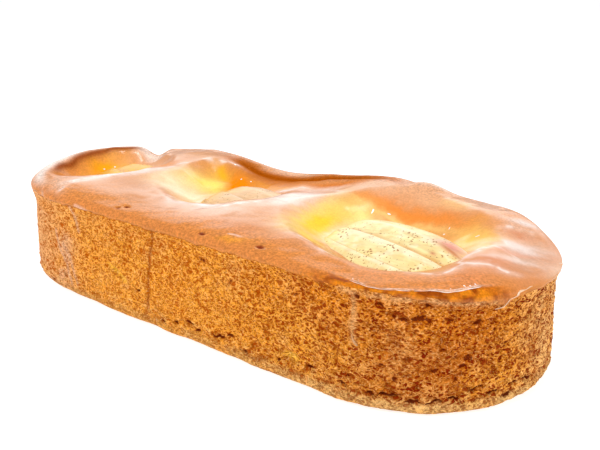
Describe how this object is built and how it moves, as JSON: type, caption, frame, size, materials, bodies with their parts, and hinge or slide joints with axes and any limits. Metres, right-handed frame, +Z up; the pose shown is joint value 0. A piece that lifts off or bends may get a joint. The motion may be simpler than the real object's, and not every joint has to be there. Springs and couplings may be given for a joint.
{
  "type": "loaf cake",
  "caption": "Oblong fruit loaf cake with round ends, open golden crumb on its sides and a glazed, uneven top sunk round fan-cut apple pieces.",
  "frame": {"origin": "middle of the flat base", "axes": "+X along the loaf towards the end with the open apple piece, +Y across it, +Z up"},
  "size_m": [0.265, 0.109, 0.0536],
  "materials": {
    "sponge": "open golden-brown baked crumb",
    "apple_flesh": "moist pale baked fruit",
    "glaze": "thin glossy sugar glaze over browned crust"
  },
  "bodies": {
    "root": {"loaf": "sponge", "apple_near": "apple_flesh", "apple_middle": "apple_flesh", "apple_far": "apple_flesh"}
  },
  "joints": []
}
